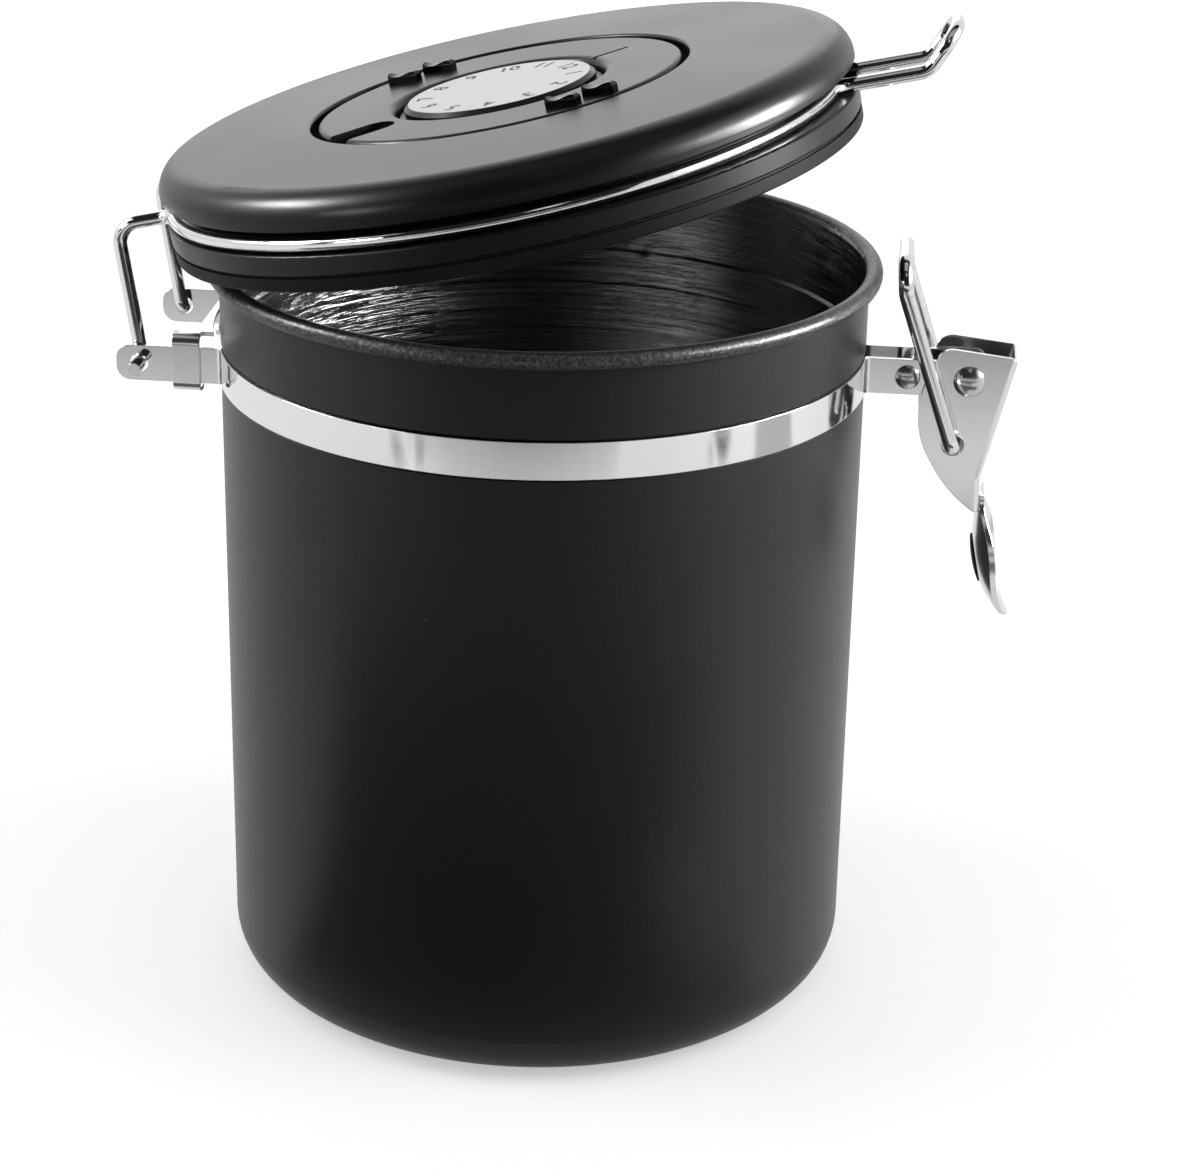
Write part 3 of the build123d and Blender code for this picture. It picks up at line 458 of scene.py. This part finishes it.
def moulded_plastic(name, colour, roughness, dust_share=0.06):
    """Moulded plastic with a fine spark-eroded texture and a little dust."""
    recipe = Recipe(name)
    place = recipe.coordinates()
    grain = recipe.noise(place, per_metre=1500.0, detail=2.5, roughness=0.6)
    cloud = recipe.noise(place, per_metre=22.0, detail=2.0)
    dust = recipe.specks(place, per_metre=190.0, share=dust_share, radius=0.12 * MM)
    tone = recipe.shades(cloud, colour, 0.9, 1.25)
    recipe.set(
        Base_Color=recipe.mix_colour(dust, tone, grey(0.16)),
        Specular_IOR_Level=0.2,
        Roughness=recipe.between(cloud, roughness - 0.03, roughness + 0.03, 0.3, 0.7),
    )
    recipe.bump(grain, distance=0.024 * MM, strength=0.7)
    return recipe.material


def gloss_plastic():
    """Polished black plastic of the grip nubs, with faint handling marks."""
    recipe = Recipe("gloss_nub")
    place = recipe.coordinates()
    marks = recipe.noise(place, per_metre=240.0)
    recipe.set(
        Base_Color=recipe.mix_colour(marks, grey(0.002), grey(0.005)),
        Roughness=recipe.between(marks, 0.07, 0.14, 0.35, 0.7),
        Specular_IOR_Level=0.08,
    )
    recipe.bump(recipe.noise(place, per_metre=420.0, detail=2.0), distance=0.004 * MM, strength=0.4)
    return recipe.material


def black_silicone():
    """Matte silicone that picks up white dust."""
    look = finishes()
    recipe = Recipe("black_silicone")
    place = recipe.coordinates()
    turned_place = recipe.coordinates((1.3, 0.9, 1.1))
    bloom = recipe.noise(place, per_metre=60.0, detail=4.0, roughness=0.6)
    fine = recipe.specks(place, per_metre=300.0, share=0.07, radius=0.15 * MM)
    coarse = recipe.specks(turned_place, per_metre=140.0, share=0.10, radius=0.22 * MM)
    dust = recipe.math("MAXIMUM", fine, coarse)
    tone = recipe.shades(bloom, look.silicone_colour, 0.7, 1.8)
    recipe.set(
        Base_Color=recipe.mix_colour(dust, tone, (0.42, 0.42, 0.40, 1)),
        Specular_IOR_Level=0.06,
        Roughness=recipe.between(bloom, 0.42, 0.56, 0.3, 0.7),
    )
    recipe.bump(recipe.noise(place, per_metre=900.0), distance=0.03 * MM, strength=0.6)
    return recipe.material


def bright_steel(name, roughness, brush=(1, 1, 60), marks=0.04, wave=0.0, colour=None):
    """Polished or satin steel with faint brushing, smudges and, on sheet, a slight wave."""
    recipe = Recipe(name)
    place = recipe.coordinates()
    lines = recipe.noise(recipe.coordinates(brush), per_metre=120.0)
    smudge = recipe.noise(place, per_metre=60.0, detail=4.0)
    tone = tuple(colour or finishes().steel_colour)
    brushed = recipe.between(lines, roughness * 0.8, roughness * 1.2)
    recipe.set(
        Base_Color=recipe.shades(smudge, tone, 0.9, 1.04),
        Metallic=1.0,
        Roughness=recipe.math("ADD", brushed, recipe.between(smudge, 0.0, marks, 0.45, 0.7)),
    )
    edge = recipe.node("ShaderNodeBevel", samples=4)
    edge.inputs["Radius"].default_value = EDGE_WEAR
    under = edge.outputs["Normal"]
    if wave:
        swell = recipe.noise(place, per_metre=45.0, detail=2.0)
        under = recipe.bump(swell, distance=wave, under=under)
    recipe.bump(lines, distance=0.003 * MM, strength=0.35, under=under)
    return recipe.material


def fleece():
    """Pressed filter fleece."""
    recipe = Recipe("filter_fleece")
    fibres = recipe.noise(recipe.coordinates((1, 1, 6)), per_metre=700.0, detail=5.0, roughness=0.7)
    recipe.set(
        Base_Color=recipe.mix_colour(fibres, (0.58, 0.57, 0.54, 1), (0.78, 0.77, 0.74, 1)),
        Roughness=0.92,
    )
    recipe.bump(fibres, distance=0.12 * MM, strength=0.8)
    return recipe.material


def clear_silicone():
    """Milky silicone of the valve flap."""
    recipe = Recipe("clear_silicone")
    cloud = recipe.noise(recipe.coordinates(), per_metre=90.0, detail=2.0)
    recipe.set(
        Base_Color=recipe.mix_colour(cloud, (0.58, 0.58, 0.56, 1), (0.70, 0.70, 0.68, 1)),
        Roughness=recipe.between(cloud, 0.3, 0.42),
        Subsurface_Weight=0.2,
    )
    return recipe.material


def white_plate():
    """Satin white plate, a little uneven in gloss."""
    look = finishes()
    recipe = Recipe("white_plate")
    place = recipe.coordinates()
    cloud = recipe.noise(place, per_metre=80.0)
    recipe.set(
        Base_Color=recipe.shades(cloud, look.plate_colour, 0.95, 1.03),
        Roughness=recipe.between(cloud, 0.28, 0.38),
        Specular_IOR_Level=0.1,
    )
    grain = recipe.noise(place, per_metre=1400.0, detail=2.0)
    recipe.bump(grain, distance=0.006 * MM, strength=0.4)
    return recipe.material


def printing_ink():
    """Dark ink that doesn't quite cover."""
    look = finishes()
    recipe = Recipe("printing_ink")
    cover = recipe.noise(recipe.coordinates(), per_metre=1800.0, detail=2.0)
    recipe.set(
        Base_Color=recipe.shades(cover, look.print_colour, 0.6, 1.8),
        Roughness=0.5,
        Specular_IOR_Level=0.3,
    )
    return recipe.material


def paint(material, *nodes):
    """Give CAD nodes their finish."""
    for node in nodes:
        slots = frame["nodes"][node].data.materials
        slots.clear()
        slots.append(material)


class CANISTER_OT_body(Operator):
    """Finish the canister shell"""

    bl_idname = "canister.body"
    bl_label = "Canister shell"

    def execute(self, context):
        paint(body_coat(), "canister_shell")
        return {"FINISHED"}


class CANISTER_OT_band(Operator):
    """Finish the two halves of the clamp band"""

    bl_idname = "canister.band"
    bl_label = "Clamp band"

    def execute(self, context):
        polished = bright_steel("polished_band", finishes().band_roughness, wave=0.03 * MM)
        paint(polished, "band_front", "band_rear")
        return {"FINISHED"}


class CANISTER_OT_sheet_metal(Operator):
    """Finish the hinge bridge, the lever, the spacer and the rivets"""

    bl_idname = "canister.sheet_metal"
    bl_label = "Hinge and latch sheet"

    def execute(self, context):
        satin = bright_steel("satin_sheet", finishes().sheet_roughness, marks=0.06, wave=0.012 * MM)
        paint(satin, "hinge_bridge", "latch_spacer", "latch_lever")
        heads = bright_steel("rivet_steel", 0.2, brush=(8, 8, 8), colour=(0.52, 0.52, 0.53, 1))
        paint(heads, "spacer_rivet", "pivot_rivet")
        return {"FINISHED"}


class CANISTER_OT_wires(Operator):
    """Finish the lid wire and the latch bail"""

    bl_idname = "canister.wires"
    bl_label = "Wires"

    def execute(self, context):
        wire = bright_steel("drawn_wire", finishes().wire_roughness, brush=(20, 20, 20))
        paint(wire, "lid_wire", "latch_bail")
        return {"FINISHED"}


class CANISTER_OT_lid(Operator):
    """Finish the lid's cover and base"""

    bl_idname = "canister.lid"
    bl_label = "Lid shells"

    def execute(self, context):
        look = finishes()
        shell = moulded_plastic("lid_plastic", look.lid_colour, look.lid_roughness)
        paint(shell, "lid_cover", "lid_base")
        return {"FINISHED"}


class CANISTER_OT_silicone(Operator):
    """Finish the lid's seal and the lever's pad"""

    bl_idname = "canister.silicone"
    bl_label = "Seal and thumb pad"

    def execute(self, context):
        paint(black_silicone(), "lid_seal", "thumb_pad")
        return {"FINISHED"}


class CANISTER_OT_valve(Operator):
    """Finish the valve, its filter and the screws"""

    bl_idname = "canister.valve"
    bl_label = "Valve, filter and screws"

    def execute(self, context):
        inner = moulded_plastic("inner_plastic", finishes().lid_colour, 0.45, dust_share=0.0)
        paint(inner, "valve_cage", "filter_grille")
        paint(clear_silicone(), "valve_flap")
        paint(fleece(), "filter_disc")
        plated = bright_steel("plated_screws", 0.3, colour=(0.5, 0.5, 0.51, 1))
        paint(plated, "hub_screw", "lid_screws")
        return {"FINISHED"}


class CANISTER_OT_dial(Operator):
    """Finish the dial's ring, hub, nubs and plate"""

    bl_idname = "canister.dial"
    bl_label = "Dial"

    def execute(self, context):
        look = finishes()
        ring = moulded_plastic("dial_plastic", look.lid_colour, look.lid_roughness, dust_share=0.03)
        paint(ring, "dial_ring", "dial_hub")
        paint(gloss_plastic(), "grip_nubs")
        paint(white_plate(), "number_plate")
        return {"FINISHED"}


def plate_top():
    """Middle of the number plate's upper face, from the plate's own corners."""
    plate = frame["nodes"]["number_plate"]
    corners = [plate.matrix_world @ vertex.co for vertex in plate.data.vertices]
    height = max(corner.dot(lid_axis) for corner in corners)
    middle = sum(corners, Vector()) / len(corners)
    return middle + lid_axis * (height - middle.dot(lid_axis))


def number_shape(text):
    """Corners and faces of one printed number, in font units, centred on the origin."""
    curve = bpy.data.curves.new("number", "FONT")
    curve.body = text
    curve.align_x = "CENTER"
    curve.align_y = "CENTER"
    curve.extrude = 0.5
    curve.offset = PRINT_BOLDNESS
    curve.resolution_u = 5
    holder = bpy.data.objects.new("number", curve)
    bpy.context.scene.collection.objects.link(holder)
    bpy.context.view_layer.update()
    mesh = bpy.data.meshes.new_from_object(holder)
    corners = [vertex.co.copy() for vertex in mesh.vertices]
    faces = [list(polygon.vertices) for polygon in mesh.polygons]
    bpy.data.objects.remove(holder)
    bpy.data.curves.remove(curve)
    bpy.data.meshes.remove(mesh)
    return corners, faces


class CANISTER_OT_numbers(Operator):
    """Print the numbers 1 to 12 on the dial's plate"""

    bl_idname = "canister.numbers"
    bl_label = "Printed numbers"

    def execute(self, context):
        look = finishes()
        centre = plate_top()
        points = []
        faces = []
        for hour in range(1, 13):
            around = radians(TWELVE_ANGLE - HOUR_ANGLE * (hour % 12))
            outward = lid_forward * cos(around) + lid_across * sin(around)
            rightward = outward.cross(lid_axis)
            middle = centre + outward * look.number_circle
            corners, polygons = number_shape(str(hour))
            for polygon in polygons:
                faces.append([len(points) + corner for corner in polygon])
            for corner in corners:
                flat = rightward * corner.x + outward * corner.y
                raised = lid_axis * (corner.z * PRINT_THICKNESS)
                points.append(middle + flat * look.number_size + raised)
        mesh = bpy.data.meshes.new("dial_numbers")
        mesh.from_pydata(points, [], faces)
        mesh.materials.append(printing_ink())
        numbers = bpy.data.objects.new("dial_numbers", mesh)
        context.scene.collection.objects.link(numbers)
        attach(numbers, "lid")
        return {"FINISHED"}


def area_light(name, place, size, power):
    """A soft panel that lights the canister and isn't seen itself."""
    data = bpy.data.lights.new(name, "AREA")
    data.shape = "RECTANGLE"
    data.size, data.size_y = size
    data.energy = power
    lamp = bpy.data.objects.new(name, data)
    bpy.context.scene.collection.objects.link(lamp)
    lamp.location = place
    to_target = Vector(LAMP_TARGET) - Vector(place)
    lamp.rotation_euler = to_target.to_track_quat("-Z", "Y").to_euler()
    lamp.visible_camera = False


def card(name, corners, tones):
    """A card beside the canister that only shows in its reflections.

    The tones run evenly from the card's highest Y to its lowest.
    """
    mesh = bpy.data.meshes.new(name)
    mesh.from_pydata(corners, [], [tuple(range(len(corners)))])
    piece = bpy.data.objects.new(name, mesh)
    bpy.context.scene.collection.objects.link(piece)
    recipe = Recipe(name)
    vector = recipe.coordinates()
    place = recipe.split(vector)
    depths = [corner[1] for corner in corners]
    step = (max(depths) - min(depths)) / max(len(tones) - 1, 1)
    level = tones[0]
    for turn in range(1, len(tones)):
        near = max(depths) - step * (turn - 1)
        level = recipe.mix_value(recipe.ramp(place["Y"], near, near - step), level, tones[turn])
    blot = recipe.between(recipe.noise(vector, per_metre=60.0), 0.93, 1.07, 0.3, 0.7)
    recipe.set(
        Base_Color=grey(0),
        Roughness=1.0,
        Specular_IOR_Level=0.0,
        Emission_Color=grey(1),
        Emission_Strength=recipe.math("MULTIPLY", level, blot),
    )
    mesh.materials.append(recipe.material)
    piece.visible_camera = False
    piece.visible_diffuse = False
    piece.visible_shadow = False


def floor_card(name, corners, tones, height=LOWER_CARD):
    """A card that lies on the floor."""
    card(name, [(x, y, height) for x, y in corners], tones)


def facing_card(name, place, width, height, level):
    """A card that stands on edge and faces the rim."""
    middle = Vector(place)
    look = (Vector(RIM_MIDDLE) - middle).normalized()
    aside = look.cross(Vector((0, 0, 1))).normalized() * (width / 2)
    upward = aside.cross(look).normalized() * (height / 2)
    corners = [
        middle - aside - upward,
        middle + aside - upward,
        middle + aside + upward,
        middle - aside + upward,
    ]
    card(name, [tuple(corner) for corner in corners], [level])


def front_arc(radius, turns):
    """Points on a circle round the canister, at turns in degrees from its front."""
    return [(radius * sin(radians(turn)), -radius * cos(radians(turn))) for turn in turns]


class CANISTER_OT_studio(Operator):
    """Make the floor, the lamps, the reflection cards and the camera"""

    bl_idname = "canister.studio"
    bl_label = "Studio"

    def execute(self, context):
        scene = context.scene
        scene.view_settings.view_transform = "Standard"
        self.make_world(scene)
        self.make_floor(scene)
        for name, place, size, setting in LAMPS:
            area_light(name, place, size, getattr(studio(), setting))
        self.make_cards()
        self.make_camera(scene)
        return {"FINISHED"}

    def make_world(self, scene):
        """An even light, and plain white for the camera and for reflections."""
        world = bpy.data.worlds.new("studio")
        scene.world = world
        world.use_nodes = True
        tree = world.node_tree
        tree.nodes.clear()
        path = tree.nodes.new("ShaderNodeLightPath")
        seen = path.outputs["Is Camera Ray"]
        for kind in ("Is Glossy Ray", "Is Transmission Ray"):
            either = tree.nodes.new("ShaderNodeMath")
            either.operation = "MAXIMUM"
            tree.links.new(seen, either.inputs[0])
            tree.links.new(path.outputs[kind], either.inputs[1])
            seen = either.outputs["Value"]
        mix = tree.nodes.new("ShaderNodeMixShader")
        tree.links.new(seen, mix.inputs[0])
        for socket, strength in ((1, studio().ambient), (2, 1.0)):
            background = tree.nodes.new("ShaderNodeBackground")
            background.inputs["Color"].default_value = grey(1)
            background.inputs["Strength"].default_value = strength
            tree.links.new(background.outputs["Background"], mix.inputs[socket])
        output = tree.nodes.new("ShaderNodeOutputWorld")
        tree.links.new(mix.outputs["Shader"], output.inputs["Surface"])

    def make_floor(self, scene):
        """A floor that takes the canister's shadow and fades to white with distance."""
        mesh = bpy.data.meshes.new("floor")
        half = FLOOR_HALF
        corners = [(-half, -half, 0), (half, -half, 0), (half, half, 0), (-half, half, 0)]
        mesh.from_pydata(corners, [], [(0, 1, 2, 3)])
        floor = bpy.data.objects.new("floor", mesh)
        scene.collection.objects.link(floor)
        floor.location.z = -FLOOR_DROP
        recipe = Recipe("studio_floor")
        away = recipe.node("ShaderNodeVectorMath", operation="LENGTH")
        recipe.join(recipe.coordinates(), away.inputs[0])
        glow = recipe.between(away.outputs["Value"], *FLOOR_GLOW, *FLOOR_FADE)
        rays = recipe.node("ShaderNodeLightPath").outputs
        straight = recipe.math("MULTIPLY", rays["Is Camera Ray"], glow)
        mirrored = recipe.math("MAXIMUM", rays["Is Glossy Ray"], rays["Is Transmission Ray"])
        mirrored = recipe.math("MULTIPLY", mirrored, FLOOR_MIRRORED)
        recipe.set(
            Base_Color=tuple(studio().floor_colour),
            Roughness=0.9,
            Specular_IOR_Level=0.1,
            Emission_Color=grey(1),
            Emission_Strength=recipe.math("ADD", straight, mirrored),
        )
        mesh.materials.append(recipe.material)

    def make_cards(self):
        """The cards and boxes that give the glossy finishes something to mirror."""
        level = studio().card_tone
        glow = studio().highlight
        for name, place, width, height, share in BOXES:
            facing_card(name, place, width, height, glow * share)
        card("dark_front", DARK_FRONT, [DARK_LEVEL])
        facing_card("front_box", FRONT_BOX_PLACE, *FRONT_BOX_SIZE, 1.0)
        card("dark_ceiling", DARK_CEILING, [DARK_LEVEL])
        floor_card("grey_front", GREY_FRONT, GREY_FRONT_TONES)
        floor_card("dark_floor", DARK_FLOOR, [0.06])
        apron = front_arc(APRON_INNER, range(-APRON_TURN, APRON_TURN + 1, APRON_STEP))
        apron += front_arc(APRON_OUTER, range(APRON_TURN, -APRON_TURN - 1, -APRON_STEP))
        floor_card("apron", apron, [0.12])
        floor_card("tab_card", TAB_CARD, [0.9], UPPER_CARD)
        floor_card("grey_right", GREY_RIGHT, [0.62 * level])
        for name, tone, corners in STREAKS:
            floor_card(name, corners, [tone * level], UPPER_CARD)

    def make_camera(self, scene):
        """The camera that took the photograph."""
        camera = bpy.data.objects.new("camera", bpy.data.cameras.new("camera"))
        scene.collection.objects.link(camera)
        camera.data.lens = CAMERA_LENS
        camera.data.shift_x, camera.data.shift_y = CAMERA_SHIFT
        camera.data.clip_start = CAMERA_NEAR
        turn = Matrix.Rotation(CAMERA_AZIMUTH, 4, "Z")
        tilt = Matrix.Rotation(pi / 2 - CAMERA_PITCH, 4, "X")
        roll = Matrix.Rotation(CAMERA_ROLL, 4, "Z")
        camera.matrix_world = Matrix.Translation(CAMERA_PLACE) @ turn @ tilt @ roll
        scene.camera = camera


class CANISTER_PT_panel(Panel):
    """Finishes, and a button for each group of pieces"""

    bl_idname = "CANISTER_PT_panel"
    bl_label = "Canister"
    bl_space_type = "VIEW_3D"
    bl_region_type = "UI"
    bl_category = "Canister"

    def draw(self, context):
        for group in (context.scene.canister_finishes, context.scene.canister_studio):
            for name in type(group).__annotations__:
                self.layout.prop(group, name)
        for operator in STEPS:
            self.layout.operator(operator.bl_idname)


STEPS = (
    CANISTER_OT_studio,
    CANISTER_OT_body,
    CANISTER_OT_band,
    CANISTER_OT_sheet_metal,
    CANISTER_OT_wires,
    CANISTER_OT_lid,
    CANISTER_OT_silicone,
    CANISTER_OT_valve,
    CANISTER_OT_dial,
    CANISTER_OT_numbers,
)
CLASSES = (CanisterFinishes, CanisterStudio, *STEPS, CANISTER_PT_panel)


def register():
    for item in CLASSES:
        bpy.utils.register_class(item)
    bpy.types.Scene.canister_finishes = PointerProperty(type=CanisterFinishes)
    bpy.types.Scene.canister_studio = PointerProperty(type=CanisterStudio)


def unregister():
    del bpy.types.Scene.canister_studio
    del bpy.types.Scene.canister_finishes
    for item in reversed(CLASSES):
        bpy.utils.unregister_class(item)


def main():
    register()
    bpy.ops.canister.studio()
    bpy.ops.canister.body()
    bpy.ops.canister.band()
    bpy.ops.canister.sheet_metal()
    bpy.ops.canister.wires()
    bpy.ops.canister.lid()
    bpy.ops.canister.silicone()
    bpy.ops.canister.valve()
    bpy.ops.canister.dial()
    bpy.ops.canister.numbers()


if __name__ == "__main__":
    main()
